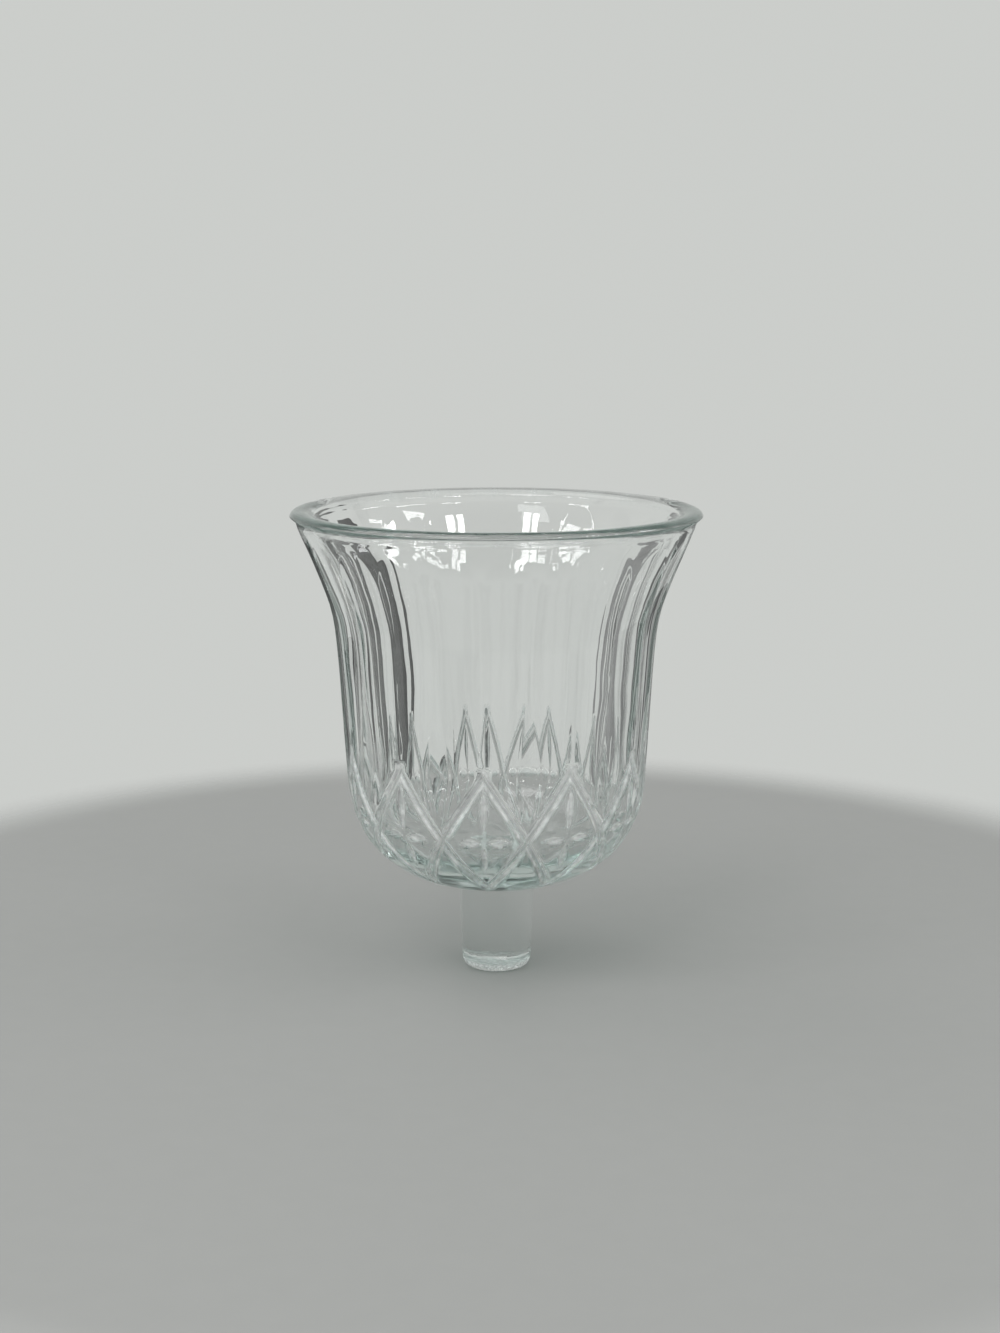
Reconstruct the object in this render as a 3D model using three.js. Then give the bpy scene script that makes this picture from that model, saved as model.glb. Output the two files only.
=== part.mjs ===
// Peg votive holder in clear pressed glass: a flared cup with flutes and a cut diamond band,
// joined at its flat seat to a solid tapered peg that stands in a candlestick socket.
// Millimetres, +Z up. The origin is the centre of the peg's flat foot, and -Y is the front.
import * as THREE from "three";
import { mergeVertices } from "three/addons/utils/BufferGeometryUtils.js";

// Peg
const pegLength = 19;
const pegTopRadius = 7.8;
const pegFootRadius = 7;
const pegFootRounding = 1.8;

// Cup outline, with heights measured up from the seat where the peg is joined
const cupHeight = 76.4;
const mouthRadius = 41.3;
const waistRadius = 30.6;
const waistHeight = 23.6;
const seatFlat = 0.7; // how much of the bowl's round end is cut off flat at the seat
const bowlFullness = 2.6; // 2 is an ellipse, more is squarer
const barrelDraft = 0.062; // how much the straight part opens for each millimetre of height
const bendHeight = 56; // where the straight part bends out into the flare
const bendLength = 4;
const lipBand = 2.2;
const crownInset = 1.9; // the lip's highest line, in from its outer edge
const lipOuterDrop = 1.2;
const lipInnerDrop = 2;

// Cup inside
const wall = 4.4;
const floorThickness = 8;
const floorRadius = 15;
const cornerHeight = 12;

// Pattern, repeated around the cup
const repeats = 11;
const peakHeight = 28.2; // top points of the zigzag, where the narrow ridges end
const crossHeight = 14.9; // where neighbouring cuts cross
const lowHeight = 3.4; // bottom points of the diamonds, under the bowl
const cutDepth = 0.9;
const starDepth = 0.6; // the finer upright and level cuts inside each diamond
const fluteDepth = 1;
const fluteTop = 71.6;
const fluteArch = 4; // how much lower a flute's shoulders end than its middle
const fluteRunOut = 3.5; // height in which a flute fades out at its top

// Facets
const halfSteps = 6; // columns from a peak to the next crossing
const columns = repeats * 2 * halfSteps;
const ridgeSteps = 1; // columns to each side of the wide ridge
const pegColumns = 40;
const arcSteps = 2;
const lipSteps = 3;

const glass = { color: 0xdfe8e3, roughness: 0.05, metalness: 0, transparent: true, opacity: 0.5 };

// How far a height lies past the bend, eased round it
function pastBend(h) {
  return (Math.hypot(h - bendHeight, bendLength) + h - bendHeight) / 2;
}

function barrelRadius(h) {
  const straight = waistRadius + barrelDraft * (h - waistHeight);
  const straightAtMouth = waistRadius + barrelDraft * (cupHeight - waistHeight);
  const flare = (mouthRadius - straightAtMouth) / pastBend(cupHeight);
  return straight + flare * pastBend(h);
}

// How far round the bowl's curve a height lies: 0 at the waist, a right angle at its lowest point
function bowlAngle(h) {
  const drop = Math.max(0, (waistHeight - h) / (waistHeight + seatFlat));
  return Math.asin(drop ** (bowlFullness / 2));
}

function bowlHeight(angle) {
  return waistHeight - (waistHeight + seatFlat) * Math.sin(angle) ** (2 / bowlFullness);
}

function outerRadius(h) {
  return barrelRadius(h) * Math.cos(bowlAngle(h)) ** (2 / bowlFullness);
}

function between(from, to, step, steps) {
  return from + (to - from) * (step / steps);
}

// A ring of the outside: its radius and height, and which way its surface faces
function outerRing(h, zone, step) {
  const nudge = 0.01;
  const slope = (outerRadius(h + nudge) - outerRadius(h)) / nudge;
  const length = Math.hypot(1, slope);
  return { r: outerRadius(h), h, outR: 1 / length, outH: -slope / length, zone, step };
}

// Columns between this one and the nearest peak line of the zigzag
function columnsFromPeak(column) {
  const inRepeat = column % (2 * halfSteps);
  return Math.min(inRepeat, 2 * halfSteps - inRepeat);
}

// The star cuts are leaf-shaped: the level one runs from crossing to upright, the upright one
// from the peak to the diamond's bottom point.
function levelCut(off) {
  return starDepth * Math.sin((Math.PI * off) / halfSteps);
}

function uprightCut(stepsUp) {
  return starDepth * Math.sin((Math.PI * stepsUp) / (2 * halfSteps));
}

// A flute hollows the wall from one ridge to the next, and ends at its top in a round arch.
function fluteCut(h, off, low, high) {
  const across = (off - low) / (high - low);
  if (across <= 0 || across >= 1) {
    return 0;
  }
  const top = fluteTop - fluteArch * (2 * across - 1) ** 2;
  const fade = THREE.MathUtils.smoothstep(top - h, 0, fluteRunOut);
  return fluteDepth * 4 * across * (1 - across) * fade;
}

function cutAt(ring, column) {
  const off = columnsFromPeak(column);
  if (ring.zone === "under") {
    const star = off === 0 ? uprightCut(ring.step) : 0;
    return off === ring.step ? cutDepth : star;
  }
  if (ring.zone === "band") {
    const edge = halfSteps - ring.step;
    if (off === edge) {
      return cutDepth;
    }
    if (off < edge) {
      const upright = off === 0 ? uprightCut(halfSteps + ring.step) : 0;
      return ring.step === 0 ? Math.max(upright, levelCut(off)) : upright;
    }
    const ridge = ridgeSteps * (ring.step / halfSteps);
    return fluteCut(ring.h, off, edge, halfSteps - ridge);
  }
  if (ring.zone === "flutes") {
    return fluteCut(ring.h, off, 0, halfSteps - ridgeSteps);
  }
  return 0;
}

// Points along an arc from one angle to another, without its last point
function arc(centreR, centreH, sizeR, sizeH, from, to, steps) {
  const points = [];
  for (let step = 0; step < steps; step += 1) {
    const angle = between(from, to, step, steps);
    points.push({ r: centreR + sizeR * Math.cos(angle), h: centreH + sizeH * Math.sin(angle) });
  }
  return points;
}

function bowlRings() {
  const rings = [];
  const atSeat = bowlAngle(0);
  const atLow = bowlAngle(lowHeight);
  const atCross = bowlAngle(crossHeight);
  for (let step = 0; step < arcSteps; step += 1) {
    rings.push(outerRing(bowlHeight(between(atSeat, atLow, step, arcSteps)), "plain", step));
  }
  for (let step = 0; step < halfSteps; step += 1) {
    rings.push(outerRing(bowlHeight(between(atLow, atCross, step, halfSteps)), "under", step));
  }
  for (let step = 0; step < halfSteps; step += 1) {
    rings.push(outerRing(between(crossHeight, peakHeight, step, halfSteps), "band", step));
  }
  return rings;
}

function fluteRings() {
  const rings = [];
  const archStart = fluteTop - fluteArch - fluteRunOut;
  const longSteps = 7;
  const archSteps = 4;
  for (let step = 0; step < longSteps; step += 1) {
    rings.push(outerRing(between(peakHeight, archStart, step, longSteps), "flutes", step));
  }
  for (let step = 0; step <= archSteps; step += 1) {
    rings.push(outerRing(between(archStart, fluteTop, step, archSteps), "flutes", step));
  }
  return rings;
}

function innerWallRadius(h) {
  return barrelRadius(h) - wall;
}

function lipRings() {
  const quarter = Math.PI / 2;
  const crown = mouthRadius - crownInset;
  const innerWidth = crown - innerWallRadius(cupHeight - lipInnerDrop);
  const rings = [outerRing(cupHeight - lipBand, "plain", 0)];
  rings.push(...arc(crown, cupHeight - lipOuterDrop, crownInset, lipOuterDrop,
    0, quarter, lipSteps));
  rings.push(...arc(crown, cupHeight - lipInnerDrop, innerWidth, lipInnerDrop,
    quarter, 2 * quarter, lipSteps));
  return rings;
}

function insideRings() {
  const rings = [];
  const wallTop = cupHeight - lipInnerDrop;
  const cornerTop = floorThickness + cornerHeight;
  const cornerSteps = 3;
  const wallSteps = 7;
  for (let step = 0; step < wallSteps; step += 1) {
    const h = between(wallTop, cornerTop, step, wallSteps);
    rings.push({ r: innerWallRadius(h), h });
  }
  rings.push(...arc(floorRadius, cornerTop, innerWallRadius(cornerTop) - floorRadius,
    cornerHeight, 0, -Math.PI / 2, cornerSteps));
  rings.push({ r: floorRadius, h: floorThickness });
  return rings;
}

function ringPoint(ring, column) {
  const cut = ring.zone ? cutAt(ring, column) : 0;
  const angle = (2 * Math.PI * column) / columns;
  const r = cut ? ring.r - cut * ring.outR : ring.r;
  const h = cut ? ring.h - cut * ring.outH : ring.h;
  return [r * Math.sin(angle), -r * Math.cos(angle), h];
}

// Each four-sided facet is folded along the cut that crosses it, which leans one way before a
// crossing line and the other way after it.
function foldLeansLeft(ring, column) {
  const beforeCrossing = column % (2 * halfSteps) < halfSteps;
  return ring.zone === "under" ? !beforeCrossing : beforeCrossing;
}

// The rings joined into one closed skin, from the middle of the seat to the middle of the floor
function closedSkin(rings, lowH, highH) {
  const positions = [0, 0, lowH];
  rings.forEach((ring) => {
    for (let column = 0; column < columns; column += 1) {
      positions.push(...ringPoint(ring, column));
    }
  });
  positions.push(0, 0, highH);
  const at = (row, column) => 1 + row * columns + (column % columns);
  const indices = [];
  const last = rings.length - 1;
  const end = 1 + rings.length * columns;
  for (let column = 0; column < columns; column += 1) {
    indices.push(0, at(0, column + 1), at(0, column));
    for (let row = 0; row < last; row += 1) {
      const [a, b] = [at(row, column), at(row, column + 1)];
      const [c, d] = [at(row + 1, column), at(row + 1, column + 1)];
      if (foldLeansLeft(rings[row], column)) {
        indices.push(a, b, c, b, d, c);
      } else {
        indices.push(a, b, d, a, d, c);
      }
    }
    indices.push(end, at(last, column), at(last, column + 1));
  }
  const geometry = new THREE.BufferGeometry();
  geometry.setAttribute("position", new THREE.Float32BufferAttribute(positions, 3));
  geometry.setIndex(indices);
  return geometry;
}

function makeCup() {
  const rings = [...bowlRings(), ...fluteRings(), ...lipRings(), ...insideRings()];
  const cup = new THREE.Mesh(
    closedSkin(rings, 0, floorThickness),
    new THREE.MeshStandardMaterial(glass),
  );
  cup.name = "cup";
  cup.position.z = pegLength;
  return cup;
}

function makePeg() {
  const taper = (pegTopRadius - pegFootRadius) / pegLength;
  const edgeRadius = pegFootRadius + taper * pegFootRounding;
  const outline = [new THREE.Vector2(0, 0)];
  arc(edgeRadius - pegFootRounding, pegFootRounding, pegFootRounding, pegFootRounding,
    -Math.PI / 2, 0, arcSteps).forEach((point) => {
    outline.push(new THREE.Vector2(point.r, point.h));
  });
  outline.push(new THREE.Vector2(edgeRadius, pegFootRounding));
  outline.push(new THREE.Vector2(pegTopRadius, pegLength));
  outline.push(new THREE.Vector2(0, pegLength));
  const turned = new THREE.LatheGeometry(outline, pegColumns);
  turned.rotateX(Math.PI / 2);
  turned.deleteAttribute("normal");
  turned.deleteAttribute("uv");
  const peg = new THREE.Mesh(mergeVertices(turned), new THREE.MeshStandardMaterial(glass));
  peg.name = "peg";
  return peg;
}

const holder = new THREE.Group();
holder.add(makeCup(), makePeg());

export default holder;
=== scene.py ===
import math

import bpy
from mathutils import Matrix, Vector


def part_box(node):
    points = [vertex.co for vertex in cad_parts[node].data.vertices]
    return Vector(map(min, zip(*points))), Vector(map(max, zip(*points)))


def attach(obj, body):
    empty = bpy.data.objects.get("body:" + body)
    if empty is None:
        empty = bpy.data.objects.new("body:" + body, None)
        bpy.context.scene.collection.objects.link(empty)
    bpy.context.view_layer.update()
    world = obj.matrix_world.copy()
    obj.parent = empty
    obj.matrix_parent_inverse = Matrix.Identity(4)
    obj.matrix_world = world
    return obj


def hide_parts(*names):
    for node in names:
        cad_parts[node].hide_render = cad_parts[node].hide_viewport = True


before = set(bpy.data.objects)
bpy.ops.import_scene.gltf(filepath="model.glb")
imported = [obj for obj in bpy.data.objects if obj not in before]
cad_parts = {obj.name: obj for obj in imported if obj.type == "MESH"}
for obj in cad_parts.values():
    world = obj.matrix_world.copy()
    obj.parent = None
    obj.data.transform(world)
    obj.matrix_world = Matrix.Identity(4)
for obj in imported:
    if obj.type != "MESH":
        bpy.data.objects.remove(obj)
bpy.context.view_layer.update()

mm = 0.001
hair = 0.01 * mm  # a width or gap that counts as none
cupLow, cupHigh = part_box("cup")
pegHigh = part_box("peg")[1]
print("frame loaded:", sorted(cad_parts))


# A socket of a node tree. Sums on it add Math nodes, and node() adds any other node.
class Wire:
    def __init__(self, tree, socket=None):
        self.tree = tree
        self.socket = socket

    def node(self, kind, feeds=None, out=0, **settings):
        made = self.tree.nodes.new(kind)
        for name, value in settings.items():
            setattr(made, name, value)
        for place, value in (feeds or {}).items():
            feed(made.inputs[place], value)
        return Wire(self.tree, made.outputs[out] if made.outputs else None)

    def other(self, name):  # another output of the same node
        return Wire(self.tree, self.socket.node.outputs[name])

    def math(self, operation, *values):
        return self.node("ShaderNodeMath", dict(enumerate(values)), operation=operation)

    def __add__(self, value):
        return self.math("ADD", self, value)

    def __radd__(self, value):
        return self.math("ADD", value, self)

    def __sub__(self, value):
        return self.math("SUBTRACT", self, value)

    def __rsub__(self, value):
        return self.math("SUBTRACT", value, self)

    def __mul__(self, value):
        return self.math("MULTIPLY", self, value)

    def __rmul__(self, value):
        return self.math("MULTIPLY", value, self)

    def __truediv__(self, value):
        return self.math("DIVIDE", self, value)

    def __rtruediv__(self, value):
        return self.math("DIVIDE", value, self)

    def __pow__(self, value):
        return self.math("POWER", self, value)

    def __abs__(self):
        return self.math("ABSOLUTE", self)

    def atLeast(self, value):
        return self.math("MAXIMUM", self, value)

    def atMost(self, value):
        return self.math("MINIMUM", self, value)

    def eased(self):  # 0 below 0, 1 above 1 and a smooth step between
        held = self.atLeast(0).atMost(1)
        return held * held * (3 - 2 * held)


def feed(socket, value):
    if isinstance(value, Wire):
        socket.id_data.links.new(value.socket, socket)
    else:
        socket.default_value = value


# The cup's turned outline. Heights are measured up from the flat seat, in metres.
cup = {
    "height": cupHigh.z - cupLow.z,
    "mouthRadius": cupHigh.x,
    "waistRadius": 30.6 * mm,
    "waistHeight": 23.6 * mm,
    "seatFlat": 0.7 * mm,  # how much of the bowl's round end is cut off flat
    "bowlFullness": 2.6,  # 2 is an ellipse, more is squarer
    "barrelDraft": 0.062,
    "bendHeight": 56 * mm,
    "bendLength": 4 * mm,
    "lipBand": 2.2 * mm,
    "crownInset": 1.9 * mm,
    "lipOuterDrop": 1.2 * mm,
    "lipInnerDrop": 2 * mm,
    "wall": 4.4 * mm,
    "floorThickness": 8 * mm,
    "floorRadius": 15 * mm,
    "cornerHeight": 12 * mm,
    "fineFrom": 62 * mm,  # the rows are closer together where the flutes run out
    "fineTo": 73 * mm,
    "steps": {  # rows of the mesh, besides those of the zigzag
        "seat": 8,
        "flutes": 14,
        "fine": 22,
        "lipOutside": 6,
        "lipInside": 7,
        "wall": 12,
        "corner": 8,
    },
}

# The pattern pressed into its outside, repeated around it
pattern = {
    "repeats": 11,
    "peakHeight": 28.2 * mm,
    "crossHeight": 14.9 * mm,
    "lowHeight": 3.4 * mm,
    "halfColumns": 30,  # columns of the mesh from a peak line to the next crossing
    "levelLeaf": (0.03, 0.66),  # its ends, as shares of the way from peak line to crossing
    "upperLeaf": (1.04, 1.93),  # and these by how far up the zigzag they are
    "lowerLeaf": (0.5, 0.97),
    "fullFluteShare": 0.6,  # a flute narrower than this share of half a repeat is shallower
    "sizes": {
        "Cut depth": 0.95 * mm,
        "Cut half width": 1.2 * mm,
        "Cut run-out": 2 * mm,
        "Leaf depth": 0.65 * mm,
        "Leaf half width": 1.05 * mm,
        "Flute depth": 0.28 * mm,
        "Flute top": 71.6 * mm,
        "Flute run-out": 8 * mm,
        "Peak ridge half width": 0.35 * mm,
        "Rib half width": 2 * mm,
        "Rib top half width": 0.65 * mm,
        "Rib taper height": 18 * mm,
        "Waviness": 0.15 * mm,
        "Waviness size": 10 * mm,
    },
}


def pastBend(h):  # how far a height lies past the bend, eased round it
    return (math.hypot(h - cup["bendHeight"], cup["bendLength"]) + h - cup["bendHeight"]) / 2


def barrelRadius(h):
    straight = cup["waistRadius"] + cup["barrelDraft"] * (h - cup["waistHeight"])
    rise = cup["height"] - cup["waistHeight"]
    straightAtMouth = cup["waistRadius"] + cup["barrelDraft"] * rise
    flare = (cup["mouthRadius"] - straightAtMouth) / pastBend(cup["height"])
    return straight + flare * pastBend(h)


def bowlAngle(h):  # 0 at the waist, a right angle at the bowl's lowest point
    drop = max(0, (cup["waistHeight"] - h) / (cup["waistHeight"] + cup["seatFlat"]))
    return math.asin(drop ** (cup["bowlFullness"] / 2))


def bowlHeight(angle):
    reach = cup["waistHeight"] + cup["seatFlat"]
    return cup["waistHeight"] - reach * math.sin(angle) ** (2 / cup["bowlFullness"])


def outerRadius(h):
    return barrelRadius(h) * math.cos(bowlAngle(h)) ** (2 / cup["bowlFullness"])


def innerRadius(h):
    return barrelRadius(h) - cup["wall"]


def between(start, end, step, steps):
    return start + (end - start) * step / steps


# A point of the outline has a radius, a height, and how far up the zigzag it is: its low points
# are at climb 0, its crossings at 1 and its peaks at 2.
def outsidePoint(h, climb):
    return {"r": outerRadius(h), "h": h, "climb": climb, "outside": 1}


def plainPoint(r, h, climb=9):  # well past the zigzag's top
    return {"r": r, "h": h, "climb": climb, "outside": 0}


def arcPoints(centre, size, start, end, steps):
    points = []
    for step in range(steps):
        angle = between(start, end, step, steps)
        r = centre[0] + size[0] * math.cos(angle)
        h = centre[1] + size[1] * math.sin(angle)
        points.append(plainPoint(r, h))
    return points


def zigzagPoints():
    atSeat, atLow = bowlAngle(0), bowlAngle(pattern["lowHeight"])
    atCross = bowlAngle(pattern["crossHeight"])
    half, seat = pattern["halfColumns"], cup["steps"]["seat"]
    perClimb = atCross - atLow  # the bowl's angle turned for a climb of 1 under the crossings
    points = []
    for step in range(seat):
        angle = between(atSeat, atLow, step, seat)
        points.append(outsidePoint(bowlHeight(angle), (angle - atLow) / perClimb))
    for step in range(half):
        h = bowlHeight(between(atLow, atCross, step, half))
        points.append(outsidePoint(h, step / half))
    for step in range(half):
        h = between(pattern["crossHeight"], pattern["peakHeight"], step, half)
        points.append(outsidePoint(h, 1 + step / half))
    return points


def flutePoints():
    flutes, fine = cup["steps"]["flutes"], cup["steps"]["fine"]
    fineFrom, fineTo = cup["fineFrom"], cup["fineTo"]
    perMetre = 1 / (pattern["peakHeight"] - pattern["crossHeight"])
    heights = [between(pattern["peakHeight"], fineFrom, step, flutes) for step in range(flutes)]
    heights += [between(fineFrom, fineTo, step, fine) for step in range(fine)]
    heights += [fineTo, cup["height"] - cup["lipBand"]]
    return [outsidePoint(h, 2 + (h - pattern["peakHeight"]) * perMetre) for h in heights]


def lipPoints():
    quarter = math.pi / 2
    crown = cup["mouthRadius"] - cup["crownInset"]
    outer = (crown, cup["height"] - cup["lipOuterDrop"])
    outerSize = (cup["crownInset"], cup["lipOuterDrop"])
    inner = (crown, cup["height"] - cup["lipInnerDrop"])
    innerSize = (crown - innerRadius(inner[1]), cup["lipInnerDrop"])
    points = arcPoints(outer, outerSize, 0, quarter, cup["steps"]["lipOutside"])
    points += arcPoints(inner, innerSize, quarter, 2 * quarter, cup["steps"]["lipInside"])
    return points


def insidePoints():
    wallTop = cup["height"] - cup["lipInnerDrop"]
    cornerTop = cup["floorThickness"] + cup["cornerHeight"]
    wall, corner = cup["steps"]["wall"], cup["steps"]["corner"]
    points = []
    for step in range(wall):
        h = between(wallTop, cornerTop, step, wall)
        points.append(plainPoint(innerRadius(h), h))
    centre = (cup["floorRadius"], cornerTop)
    size = (innerRadius(cornerTop) - cup["floorRadius"], cup["cornerHeight"])
    points += arcPoints(centre, size, 0, -math.pi / 2, corner)
    points.append(plainPoint(cup["floorRadius"], cup["floorThickness"]))
    return points


# Turns an outline about the upright axis, through the given angles, from a middle point below to
# one above. Where leans is given, it says which diagonal splits a face.
def turned(name, points, lowZ, highZ, angles, lift, closed, leans=None):
    verts = [(0, 0, lowZ)]
    for point in points:
        z = lift + point["h"]
        for angle in angles:
            verts.append((point["r"] * math.sin(angle), -point["r"] * math.cos(angle), z))
    verts.append((0, 0, highZ))
    across = len(angles)
    faces = []
    for column in range(across if closed else across - 1):
        after = (column + 1) % across
        faces.append((0, 1 + after, 1 + column))
        for row in range(len(points) - 1):
            below, above = 1 + row * across, 1 + (row + 1) * across
            a, b, c, d = below + column, below + after, above + column, above + after
            left = leans(points[row], column) if leans else True
            faces += [(a, b, c), (b, d, c)] if left else [(a, b, d), (a, d, c)]
        last = 1 + (len(points) - 1) * across
        faces.append((len(verts) - 1, last + column, last + after))
    mesh = bpy.data.meshes.new(name)
    mesh.from_pydata(verts, [], faces)
    mesh.shade_smooth()
    made = bpy.data.objects.new(name, mesh)
    bpy.context.scene.collection.objects.link(made)
    return made


def slopeAt(points, index):  # which way the outline faces there, as (out, up)
    before, after = points[max(index - 1, 0)], points[min(index + 1, len(points) - 1)]
    alongR, alongH = after["r"] - before["r"], after["h"] - before["h"]
    length = math.hypot(alongR, alongH)
    return alongH / length, -alongR / length


def climbLength(points, index):  # length along the surface for a climb of 1
    after = min(index + 1, len(points) - 1)
    start, end = points[after - 1], points[after]
    climbed = end["climb"] - start["climb"]
    length = math.hypot(end["r"] - start["r"], end["h"] - start["h"])
    return length / climbed if climbed > 0 else 1.0


def setPointValues(made, name, kind, values):
    attribute = made.data.attributes.new(name, kind, "POINT")
    field = "vector" if kind == "FLOAT_VECTOR" else "value"
    attribute.data.foreach_set(field, values)


# One repeat of the plain cup, from crossing to crossing, with the values that the pattern needs at
# each point. The two middle points have none.
def cupWedge():
    half = pattern["halfColumns"]
    halfTurn = math.pi / pattern["repeats"]
    angles = [halfTurn * step / half for step in range(-half, half + 1)]
    seatEdge = plainPoint(peg["topRadius"], 0, climb=-9)
    points = [seatEdge] + zigzagPoints() + flutePoints() + lipPoints() + insidePoints()

    def leans(point, column):
        underCrossing = point["climb"] < 1
        return (column < half) != underCrossing

    wedge = turned("cupGlass", points, cupLow.z, cupLow.z + cup["floorThickness"],
                   angles, cupLow.z, False, leans)
    rows = [(index, point, angle) for index, point in enumerate(points) for angle in angles]
    values = {
        "fold": [abs(angle) / halfTurn for index, point, angle in rows],
        "climb": [point["climb"] for index, point, angle in rows],
        "height": [point["h"] for index, point, angle in rows],
        "outside": [point["outside"] for index, point, angle in rows],
        "halfWidth": [point["r"] * halfTurn for index, point, angle in rows],
        "pitch": [climbLength(points, index) for index, point, angle in rows],
    }
    for name, listed in values.items():
        setPointValues(wedge, name, "FLOAT", [0.0] + listed + [0.0])
    outward = []
    for index, point, angle in rows:
        outR, outH = slopeAt(points, index)
        outward += [outR * math.sin(angle), -outR * math.cos(angle), outH]
    setPointValues(wedge, "outward", "FLOAT_VECTOR", [0.0] * 3 + outward + [0.0] * 3)
    return wedge


# The tree that presses the pattern into the wedge, repeats it round the cup and closes it
def pressedCupTree(material):
    tree = bpy.data.node_groups.new("pressed cup", "GeometryNodeTree")
    tree.interface.new_socket("Geometry", in_out="INPUT", socket_type="NodeSocketGeometry")
    tree.interface.new_socket("Repeats", in_out="INPUT", socket_type="NodeSocketInt")
    for name in pattern["sizes"]:
        tree.interface.new_socket(name, in_out="INPUT", socket_type="NodeSocketFloat")
    tree.interface.new_socket("Geometry", in_out="OUTPUT", socket_type="NodeSocketGeometry")
    start = Wire(tree).node("NodeGroupInput")
    size = start.other

    def stored(name, kind="FLOAT"):
        return start.node("GeometryNodeInputNamedAttribute", {"Name": name}, data_type=kind)

    fold, climb, height = stored("fold"), stored("climb"), stored("height")
    halfWidth, pitch = stored("halfWidth"), stored("pitch")
    fromPeakLine = fold * halfWidth
    lines = zigzagCut(size, fold, climb, halfWidth, pitch)
    leaves = leafCuts(size, fold, climb, fromPeakLine, pitch)
    flutes = fluteCuts(size, climb, height, fromPeakLine, halfWidth)
    outside = stored("outside")
    cuts = lines.atLeast(leaves) * outside
    depth = cuts.atLeast(flutes * outside)
    pressed = pushedIn(start, start, stored("outward", "FLOAT_VECTOR"), depth)
    marked = start.node("GeometryNodeStoreNamedAttribute",
                        {"Geometry": pressed, "Name": "cut", "Value": cuts / size("Cut depth")},
                        data_type="FLOAT", domain="POINT")
    closed = repeatedRound(start, marked, size("Repeats"))
    waved = wavedSkin(start, closed, size("Waviness"), size("Waviness size"))
    smooth = start.node("GeometryNodeSetShadeSmooth", {"Geometry": waved})
    done = start.node("GeometryNodeSetMaterial", {"Geometry": smooth, "Material": material})
    start.node("NodeGroupOutput", {"Geometry": done})
    return tree


def pushedIn(start, skin, outward, depth):
    inward = start.node("ShaderNodeVectorMath", {0: outward, "Scale": depth * -1},
                        operation="SCALE")
    return start.node("GeometryNodeSetPosition", {"Geometry": skin, "Offset": inward})


# The V cuts of the zigzag and its mirror image, which cross and run out past their peaks
def zigzagCut(size, fold, climb, halfWidth, pitch):
    line = climb.math("PINGPONG", climb, 1)
    slant = pitch / (pitch * pitch + halfWidth * halfWidth) ** 0.5
    away = abs(fold - line) * halfWidth * slant
    past = (climb - 2).atLeast(climb * -1) * pitch
    left = 1 - (past / size("Cut run-out")).eased()
    depth = size("Cut depth")
    return (depth * left - away * depth / size("Cut half width")).atLeast(0)


def leaf(size, along, away, ends):  # a leaf-shaped cut, deepest midway between its ends
    share = ((along - ends[0]) / (ends[1] - ends[0])).atLeast(0).atMost(1)
    bulge = share.math("SINE", share * math.pi)
    depth = size("Leaf depth")
    return (depth * bulge - away * depth / size("Leaf half width")).atLeast(0)


def leafCuts(size, fold, climb, fromPeakLine, pitch):
    level = leaf(size, fold, abs(climb - 1) * pitch, pattern["levelLeaf"])
    upper = leaf(size, climb, fromPeakLine, pattern["upperLeaf"])
    lower = leaf(size, climb, fromPeakLine, pattern["lowerLeaf"])
    return level.atLeast(upper).atLeast(lower)


# The hollow flutes between the sharp ridges over the peaks and the ribs over the crossings
def fluteCuts(size, climb, height, fromPeakLine, halfWidth):
    zigzag = (2 - climb).atLeast(0) * halfWidth
    low = zigzag.atLeast(size("Peak ridge half width"))
    tapered = ((height - pattern["peakHeight"]) / size("Rib taper height")).eased()
    narrowing = size("Rib top half width") - size("Rib half width")
    rib = size("Rib half width") + narrowing * tapered
    high = halfWidth - rib * (climb - 1).atLeast(0).atMost(1)
    width = (high - low).atLeast(hair)
    across = ((fromPeakLine - low) / width).atLeast(0).atMost(1)
    hollow = 4 * across * (1 - across)
    runOut = ((height - size("Flute top")) / size("Flute run-out") + 1).atLeast(0)
    fullness = (width / (pattern["fullFluteShare"] * halfWidth)).atMost(1)
    return size("Flute depth") * (hollow - runOut * runOut).atLeast(0) * fullness


def repeatedRound(start, wedge, repeats):
    points = start.node("GeometryNodePoints", {"Count": repeats})
    turn = start.node("GeometryNodeInputIndex") * (2 * math.pi) / repeats
    euler = start.node("ShaderNodeCombineXYZ", {"Z": turn})
    rotation = start.node("FunctionNodeEulerToRotation", {"Euler": euler})
    placed = start.node("GeometryNodeInstanceOnPoints",
                        {"Points": points, "Instance": wedge, "Rotation": rotation})
    real = start.node("GeometryNodeRealizeInstances", {"Geometry": placed})
    return start.node("GeometryNodeMergeByDistance", {"Geometry": real, "Distance": hair})


# The slight unevenness of pressed glass, which only ever takes glass away
def wavedSkin(start, skin, depth, length):
    place = start.node("GeometryNodeInputPosition")
    noise = start.node("ShaderNodeTexNoise", {"Vector": place, "Scale": 1 / length, "Detail": 1.0})
    return pushedIn(start, skin, start.node("GeometryNodeInputNormal"), noise * depth)


def applyTree(made, tree, values):
    modifier = made.modifiers.new("pressing", "NODES")
    modifier.node_group = tree
    for item in tree.interface.items_tree:
        if item.in_out == "INPUT" and item.name in values:
            modifier[item.identifier] = values[item.name]
    bpy.context.view_layer.update()
    evaluated = made.evaluated_get(bpy.context.evaluated_depsgraph_get())
    mesh = bpy.data.meshes.new_from_object(evaluated)
    plain = made.data
    made.modifiers.remove(modifier)
    made.data = mesh
    bpy.data.meshes.remove(plain)
    mesh.name = made.name
    return made


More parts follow.
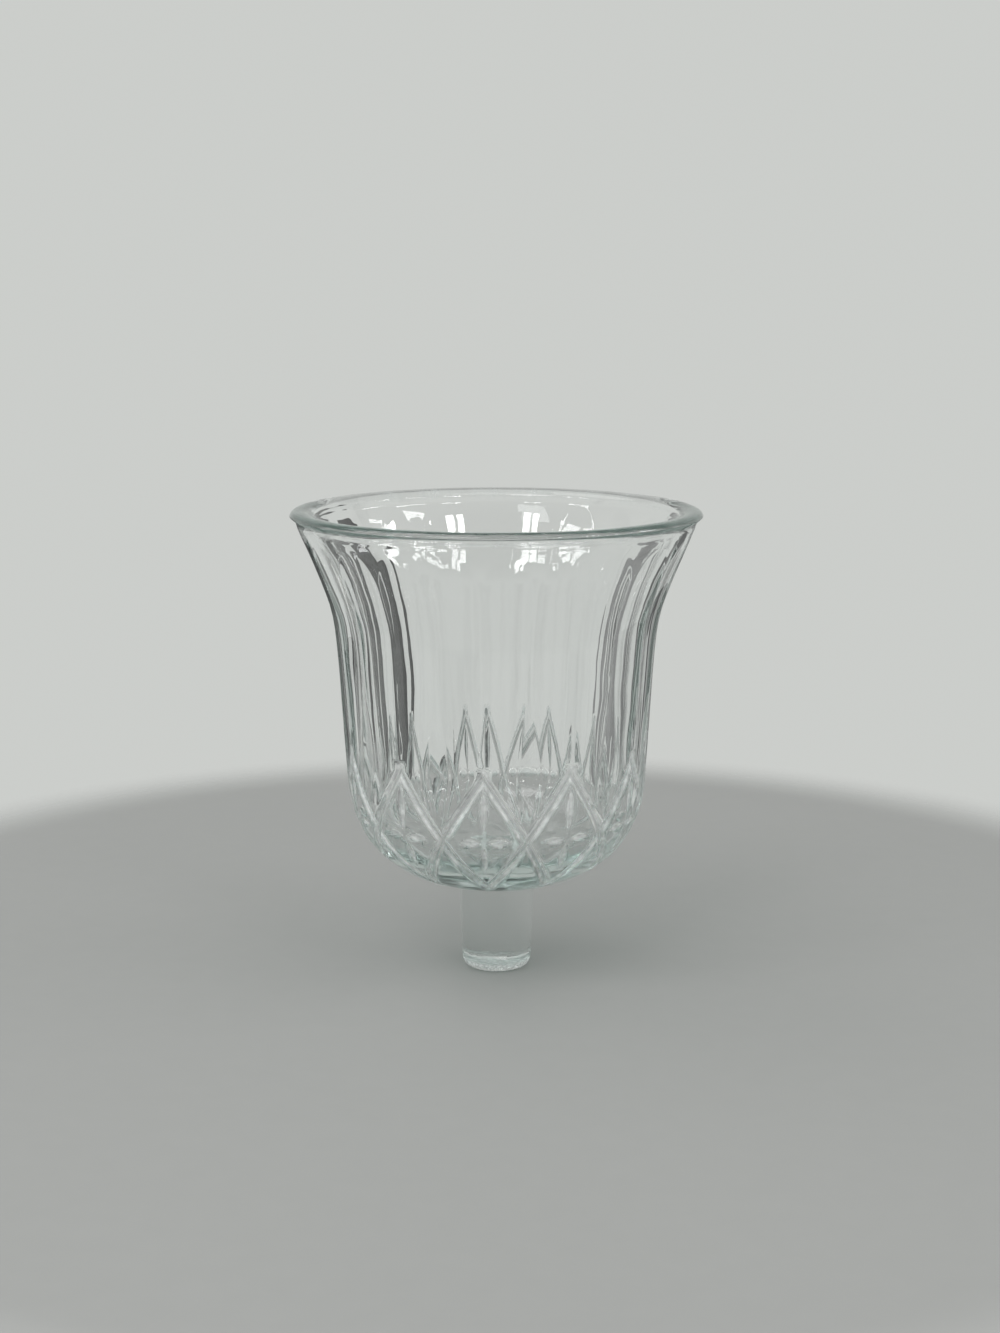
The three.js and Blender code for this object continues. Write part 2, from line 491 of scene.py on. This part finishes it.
glass = {
    "ior": 1.51,
    "tint": (1, 1, 1, 1),
    "depthColour": (0.52, 0.63, 0.6, 1),  # what is left of each colour as light goes deep
    "depthDensity": 17.0,
    "shadow": (0.74, 0.77, 0.76, 1),  # what each skin lets through to the floor
    # the white of the painted highlights mixed into the glass
    "paintedHighlightColour": (0.94, 0.96, 0.95, 1),
    "paintedHighlightRoughness": 0.5,
    "skinScale": 260.0,  # the finest unevenness, in waves per metre
    "skinHeight": 0.1 * mm,
    "skinStrength": 0.05,
}


# Clear glass with a little green in its depth, and a white shader mixed in where told as a painted
# highlight.
# Lamps and the light off the floor pass straight through it, so that its shadow stays light.
def glassMaterial(name, roughness, paintedHighlighting):
    material = bpy.data.materials.new(name)
    material.use_nodes = True
    tree = material.node_tree
    tree.nodes.clear()
    start = Wire(tree)
    place = start.node("ShaderNodeTexCoord", out="Object")
    skin = noiseAt(start, place, glass["skinScale"])
    bump = start.node("ShaderNodeBump", {"Strength": glass["skinStrength"],
                                         "Distance": glass["skinHeight"], "Height": skin})
    body = start.node("ShaderNodeBsdfPrincipled", {
        "Base Color": glass["tint"],
        "Roughness": roughness(start, place),
        "IOR": glass["ior"],
        "Transmission Weight": 1.0,
        "Normal": bump,
    })
    white = start.node("ShaderNodeBsdfPrincipled", {
        "Base Color": glass["paintedHighlightColour"],
        "Roughness": glass["paintedHighlightRoughness"],
        "Normal": bump,
    })
    # the white shader mixed in here is a painted highlight
    paintedHighlighted = mixed(start, paintedHighlighting(start, place), body, white)
    clear = start.node("ShaderNodeBsdfTransparent", {"Color": glass["shadow"]})
    path = start.node("ShaderNodeLightPath")
    forFloor = mixed(start, path.other("Is Diffuse Ray"), paintedHighlighted, clear)
    surface = mixed(start, path.other("Is Shadow Ray"), forFloor, clear)
    depth = start.node("ShaderNodeVolumeAbsorption",
                       {"Color": glass["depthColour"], "Density": glass["depthDensity"]})
    start.node("ShaderNodeOutputMaterial", {"Surface": surface, "Volume": depth})
    return material


def mixed(start, share, first, second):
    return start.node("ShaderNodeMixShader", {0: share, 1: first, 2: second})


def noiseAt(start, place, scale, detail=2.0):
    return start.node("ShaderNodeTexNoise", {"Vector": place, "Scale": scale, "Detail": detail})


# Start and gain of the painted highlight turn noise into patches of white, here and on the foot.
cutFinishAndPaintedHighlight = {
    "polished": 0.01,
    "roughness": 0.22,
    "grainRoughness": 0.2,
    "grainScale": 900.0,
    # how white the painted highlight on the cut flanks gets at most
    "paintedHighlight": 0.85,
    "paintedHighlightScale": 420.0,
    "paintedHighlightStart": 0.25,
    "paintedHighlightGain": 2.5,
    "paintedHighlightLeast": 0.4,
}


def cupRoughness(start, place):  # the cut lines keep a little of the mould's grain
    cut = start.node("ShaderNodeAttribute", attribute_name="cut", out="Fac")
    grain = noiseAt(start, place, cutFinishAndPaintedHighlight["grainScale"])
    rough = cutFinishAndPaintedHighlight["roughness"] + cutFinishAndPaintedHighlight["grainRoughness"] * grain
    return cutFinishAndPaintedHighlight["polished"] + cut.eased() * rough


# Painted highlight: white patches on the flanks of the cuts, mixed into the glass
def cupPaintedHighlight(start, place):  # whitest on the two flanks of a cut, and clear along its bottom
    cut = start.node("ShaderNodeAttribute", attribute_name="cut", out="Fac")
    cut = cut.atLeast(0).atMost(1)
    grain = noiseAt(start, place, cutFinishAndPaintedHighlight["paintedHighlightScale"], 3.0)
    patches = (grain - cutFinishAndPaintedHighlight["paintedHighlightStart"]) * cutFinishAndPaintedHighlight["paintedHighlightGain"]
    flanks = (4 * cut * (1 - cut)) ** 2
    return cutFinishAndPaintedHighlight["paintedHighlight"] * flanks * patches.atLeast(cutFinishAndPaintedHighlight["paintedHighlightLeast"]).atMost(1)


# Roughness of the ground flat foot, and the painted highlight in white patches on its rounded edge
footFinishAndPaintedHighlight = {
    "polished": 0.015,
    "roughness": 0.4,
    "grainRoughness": 0.15,
    "grainScale": 1200.0,
    "groundHeight": 0.1 * mm,
    "groundFade": 0.3 * mm,
    "edgeHeight": 1.6 * mm,
    "edgeFade": 0.4 * mm,
    "paintedHighlightScale": 1100.0,
    "paintedHighlightStart": 0.3,
    "paintedHighlightGain": 2.2,
    "paintedHighlightLeast": 0.15,
    "paintedHighlightMost": 0.8,
}


def aboveFoot(start, place, height, fade):  # 0 up to the height, and 1 from a fade above it
    up = start.node("ShaderNodeSeparateXYZ", {0: place}, out="Z")
    return ((up - height) / fade).eased()


def pegRoughness(start, place):  # the foot is ground flat
    above = aboveFoot(start, place, footFinishAndPaintedHighlight["groundHeight"], footFinishAndPaintedHighlight["groundFade"])
    grain = noiseAt(start, place, footFinishAndPaintedHighlight["grainScale"])
    rough = footFinishAndPaintedHighlight["roughness"] + footFinishAndPaintedHighlight["grainRoughness"] * grain
    return footFinishAndPaintedHighlight["polished"] + (1 - above) * rough


def pegPaintedHighlight(start, place):  # painted highlight in white patches on the rounded edge of the foot
    above = aboveFoot(start, place, footFinishAndPaintedHighlight["edgeHeight"], footFinishAndPaintedHighlight["edgeFade"])
    grain = noiseAt(start, place, footFinishAndPaintedHighlight["paintedHighlightScale"])
    patches = (grain - footFinishAndPaintedHighlight["paintedHighlightStart"]) * footFinishAndPaintedHighlight["paintedHighlightGain"]
    held = patches.atLeast(footFinishAndPaintedHighlight["paintedHighlightLeast"]).atMost(footFinishAndPaintedHighlight["paintedHighlightMost"])
    return (1 - above) * held


def makeCup():
    wedge = cupWedge()
    tree = pressedCupTree(glassMaterial("cup glass", cupRoughness, cupPaintedHighlight))
    made = applyTree(wedge, tree, {**pattern["sizes"], "Repeats": pattern["repeats"]})
    print("cup pressed:", len(made.data.polygons), "faces")
    return made


peg = {
    "length": pegHigh.z,
    "topRadius": pegHigh.x,
    "footRadius": 7 * mm,
    "footRounding": 1.8 * mm,
    "jointGap": 0.02 * mm,
    "sharpAngle": 50,
    "columns": 128,
    "steps": {"foot": 4, "rounding": 10, "side": 12},
}


def pegPoints(top):
    steps = peg["steps"]
    rounding = peg["footRounding"]
    taper = (peg["topRadius"] - peg["footRadius"]) / peg["length"]
    edge = peg["footRadius"] + taper * rounding
    flat = edge - rounding
    points = [plainPoint(flat * step / steps["foot"], 0) for step in range(1, steps["foot"])]
    points += arcPoints((flat, rounding), (rounding, rounding), -math.pi / 2, 0,
                        steps["rounding"])
    for step in range(steps["side"] + 1):
        h = between(rounding, top, step, steps["side"])
        points.append(plainPoint(edge + taper * (h - rounding), h))
    return points


def makePeg():
    angles = [2 * math.pi * step / peg["columns"] for step in range(peg["columns"])]
    top = peg["length"] - peg["jointGap"]
    made = turned("pegGlass", pegPoints(top), 0, top, angles, 0, True)
    made.data.set_sharp_from_angle(angle=math.radians(peg["sharpAngle"]))
    made.data.materials.append(glassMaterial("peg glass", pegRoughness, pegPaintedHighlight))
    print("peg turned:", len(made.data.polygons), "faces")
    return made


def dress(made, node):
    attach(made, "root")
    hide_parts(node)


dress(makeCup(), "cup")
dress(makePeg(), "peg")


stage = {
    "floorRadius": 0.19,
    "floorFade": 0.155,  # where the floor starts to fade into the backdrop
    "floorSink": 0.05 * mm,  # how far it lies below the foot
    "floorSides": 96,
    "floorColour": (0.37, 0.378, 0.366),
    "floorGrain": 0.96,  # the darker tone of its grain, as a share of its colour
    "floorGrainScale": 180.0,
    "floorRoughness": 0.6,
    "backdrop": (0.6, 0.615, 0.595, 1),
    "ceiling": (0.05, 0.055, 0.053, 1),
    "ceilingFrom": 0.42,  # the sine of the elevation where the backdrop starts to darken
    "ceilingOver": 0.2,
    "fill": 0.5,
}


def floorMaterial():
    material = bpy.data.materials.new("pale floor")
    material.use_nodes = True
    tree = material.node_tree
    tree.nodes.clear()
    start = Wire(tree)
    place = start.node("ShaderNodeTexCoord", out="Object")
    reach = start.node("ShaderNodeVectorMath", {0: place}, out="Value", operation="LENGTH")
    away = (reach - stage["floorFade"]) / (stage["floorRadius"] - stage["floorFade"])
    grain = noiseAt(start, place, stage["floorGrainScale"], 4.0)
    light = stage["floorColour"] + (1,)
    dark = tuple(stage["floorGrain"] * part for part in stage["floorColour"]) + (1,)
    colour = start.node("ShaderNodeMix", {0: grain, 6: light, 7: dark}, out=2, data_type="RGBA")
    body = start.node("ShaderNodeBsdfPrincipled",
                      {"Base Color": colour, "Roughness": stage["floorRoughness"]})
    clear = start.node("ShaderNodeBsdfTransparent")
    surface = mixed(start, away.eased(), body, clear)
    start.node("ShaderNodeOutputMaterial", {"Surface": surface})
    return material


def makeFloor():
    sides, radius = stage["floorSides"], stage["floorRadius"]
    turns = [2 * math.pi * side / sides for side in range(sides)]
    rim = [(radius * math.cos(turn), radius * math.sin(turn), -stage["floorSink"])
           for turn in turns]
    mesh = bpy.data.meshes.new("floor")
    mesh.from_pydata(rim, [], [tuple(range(sides))])
    mesh.materials.append(floorMaterial())
    made = bpy.data.objects.new("floor", mesh)
    bpy.context.scene.collection.objects.link(made)


def makeWorld():
    world = bpy.data.worlds.new("plain studio")
    bpy.context.scene.world = world
    world.use_nodes = True
    tree = world.node_tree
    tree.nodes.clear()
    start = Wire(tree)
    direction = start.node("ShaderNodeTexCoord", out="Generated")
    up = start.node("ShaderNodeSeparateXYZ", {0: direction}, out="Z")
    high = ((up - stage["ceilingFrom"]) / stage["ceilingOver"]).eased()
    shown = start.node("ShaderNodeMix", {0: high, 6: stage["backdrop"], 7: stage["ceiling"]},
                       out=2, data_type="RGBA")
    seen = start.node("ShaderNodeBackground", {"Color": shown, "Strength": 1.0})
    fill = start.node("ShaderNodeBackground", {"Color": (1, 1, 1, 1), "Strength": stage["fill"]})
    path = start.node("ShaderNodeLightPath")
    byGloss = path.other("Is Camera Ray") + path.other("Is Glossy Ray")
    direct = (byGloss + path.other("Is Transmission Ray")).atMost(1)
    start.node("ShaderNodeOutputWorld", {"Surface": mixed(start, direct, fill, seen)})


def aimed(made, azimuth, elevation, distance, target):
    a, e = math.radians(azimuth), math.radians(elevation)
    back = Vector((math.sin(a) * math.cos(e), -math.cos(a) * math.cos(e), math.sin(e)))
    made.location = Vector(target) + back * distance
    made.rotation_mode = "QUATERNION"
    made.rotation_quaternion = back.to_track_quat("Z", "Y")
    bpy.context.scene.collection.objects.link(made)
    return made


lamps = {"distance": 1.2, "aimedAt": (0, 0, 0.05)}

# Soft boxes, by azimuth round from the front, elevation, width, height and radiance
softBoxes = {
    "near strip": (70, 38, 0.4, 0.05, 18.0),
    "far strip": (98, 31, 0.4, 0.05, 18.0),
    "front": (-28, 56, 0.5, 0.36, 4.0),
    "key": (-112, 58, 0.72, 0.6, 1.4),
    "overhead": (10, 75, 0.72, 0.6, 1.1),
}

# Bright windows, each of two panes, by azimuth and width
windows = {
    "elevation": 38.5,
    "height": 0.1,
    "mullion": 0.035,
    "radiance": 18.0,
    "places": [(-57, 0.3), (-22, 0.21), (38, 0.21)],
}


def makeLamp(name, azimuth, elevation, width, height, radiance):
    lamp = bpy.data.lights.new(name, "AREA")
    lamp.shape = "RECTANGLE"
    lamp.size = width
    lamp.size_y = height
    lamp.energy = radiance * math.pi * width * height
    made = aimed(bpy.data.objects.new(name, lamp), azimuth, elevation, lamps["distance"],
                 lamps["aimedAt"])
    made.visible_camera = False


def makeLights():
    for name, values in softBoxes.items():
        makeLamp(name, *values)
    across = math.cos(math.radians(windows["elevation"])) * lamps["distance"]
    for azimuth, width in windows["places"]:
        pane = (width - windows["mullion"]) / 2
        turn = math.degrees((pane + windows["mullion"]) / 2 / across)
        for side in (-1, 1):
            makeLamp("pane", azimuth + side * turn, windows["elevation"], pane,
                     windows["height"], windows["radiance"])


# Upright dark cards outside the picture, which only the glass sees. Those behind stay below the
# lip, so that the inside of the far wall is clear.
cards = {
    "distance": 0.6,
    "bottom": -0.5,
    "places": [  # azimuth round from the front, width, height of the top and shade
        (22.5, 0.1, 0.36, 0.1),
        (67.5, 0.1, 0.36, 0.1),
        (112.5, 0.12, 0.36, 0.1),
        (148, 0.11, 0.03, 0.1),
        (164, 0.1, 0.03, 0.25),
        (-154, 0.206, 0.03, 0.04),
        (-118.5, 0.11, 0.03, 0.08),
        (-67.5, 0.1, 0.36, 0.1),
        (-22.5, 0.1, 0.36, 0.1),
    ],
}


def cardMaterial(name, shade):
    material = bpy.data.materials.new(name)
    material.use_nodes = True
    body = material.node_tree.nodes["Principled BSDF"]
    body.inputs["Base Color"].default_value = (shade, shade, shade, 1)
    return material


def makeCards():
    for index, (azimuth, width, high, shade) in enumerate(cards["places"]):
        name = "card" + str(index + 1)
        x, low = width / 2, cards["bottom"]
        corners = [(-x, low, 0), (x, low, 0), (x, high, 0), (-x, high, 0)]
        mesh = bpy.data.meshes.new(name)
        mesh.from_pydata(corners, [], [(0, 1, 2, 3)])
        mesh.materials.append(cardMaterial(name, shade))
        made = aimed(bpy.data.objects.new(name, mesh), azimuth, 0, cards["distance"], (0, 0, 0))
        made.visible_camera = False
        made.visible_diffuse = False
        made.visible_shadow = False


# The photo's camera, worked out from the rim's ellipse, the outline and the foot
view = {
    "distance": 403.2 * mm,
    "height": 141.75 * mm,
    "pitch": 11.05,
    "azimuth": 4.7,
    "aside": 0.7 * mm,
    "lens": 54.63,
    "sensor": 36,
}


def makeCamera():
    data = bpy.data.cameras.new("camera")
    data.lens = view["lens"]
    data.sensor_width = view["sensor"]
    data.clip_start = 0.01
    made = bpy.data.objects.new("camera", data)
    a = math.radians(view["azimuth"])
    away = Vector((math.sin(a), -math.cos(a), 0)) * view["distance"]
    aside = Vector((math.cos(a), math.sin(a), 0)) * view["aside"]
    made.location = away + aside + Vector((0, 0, view["height"]))
    made.rotation_euler = (math.radians(90 - view["pitch"]), 0, a)
    bpy.context.scene.collection.objects.link(made)
    bpy.context.scene.camera = made


makeFloor()
makeWorld()
makeLights()
makeCards()
makeCamera()
bpy.context.scene.view_settings.view_transform = "Standard"
tracing = bpy.context.scene.cycles  # light turns many corners inside cut glass
tracing.max_bounces = 32
tracing.glossy_bounces = 24
tracing.transmission_bounces = 32
print("stage, lights and camera ready")

bpy.context.view_layer.update()
